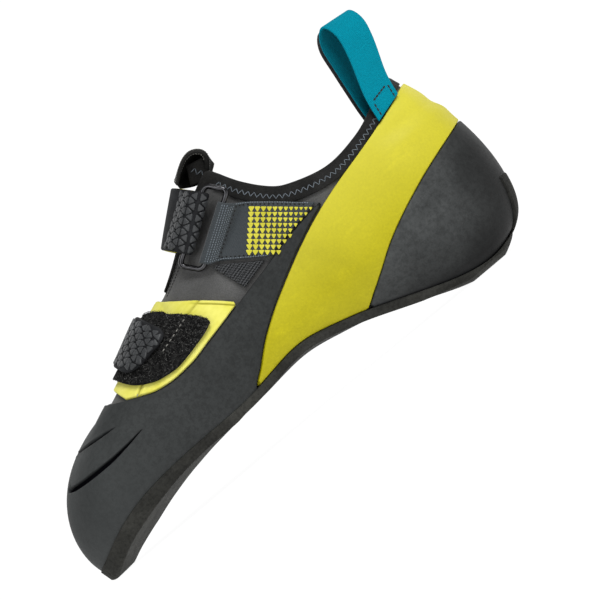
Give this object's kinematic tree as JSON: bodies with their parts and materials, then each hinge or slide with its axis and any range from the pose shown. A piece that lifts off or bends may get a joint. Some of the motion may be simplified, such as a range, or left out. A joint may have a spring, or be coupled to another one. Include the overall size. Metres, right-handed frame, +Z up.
{
  "type": "climbing shoe",
  "caption": "Low climbing shoe with a downturned sole, rubber toe rand and heel tension band, opposing hook-and-loop straps through wire rings, and heel pull loops.",
  "frame": {"origin": "centre of the bounding box in plan, on the floor that the sole stands on", "axes": "+X along the shoe from toe to heel, +Z up, -Y towards the side with the upper strap's ring"},
  "size_m": [0.2516, 0.091, 0.1294],
  "materials": {
    "sole_rubber": "dark rubber, sanded at the edge",
    "rand_rubber": "matte blue-grey rubber",
    "band_rubber": "satin yellow rubber",
    "upper_textile": "close brownish-grey microfibre",
    "panel_suede": "yellow microsuede with a fine nap",
    "loop_pile": "fuzzy black loop pile",
    "strap_moulded": "black moulded strap face with raised relief",
    "tab_textile": "blue-grey woven tab",
    "binding_textile": "black woven binding",
    "loop_webbing": "turquoise webbing",
    "ring_steel": "dark polished wire",
    "insole_textile": "plain grey lining"
  },
  "bodies": {
    "root": {"upper": "upper_textile", "outsole": "sole_rubber", "insole": "insole_textile", "toe_rand": "rand_rubber", "tension_band": "band_rubber", "heel_cup": "rand_rubber", "heel_strip": "sole_rubber", "forefoot_panel": "panel_suede", "loop_patch": "loop_pile", "upper_strap": "strap_moulded", "upper_ring": "ring_steel", "ring_tab": "tab_textile", "anchor_webbing": "binding_textile", "lower_strap": "strap_moulded", "lower_ring": "ring_steel", "lower_ring_tab": "tab_textile", "collar_binding": "binding_textile", "tongue": "binding_textile", "pull_loop_near": "loop_webbing", "pull_loop_far": "binding_textile"}
  },
  "joints": []
}
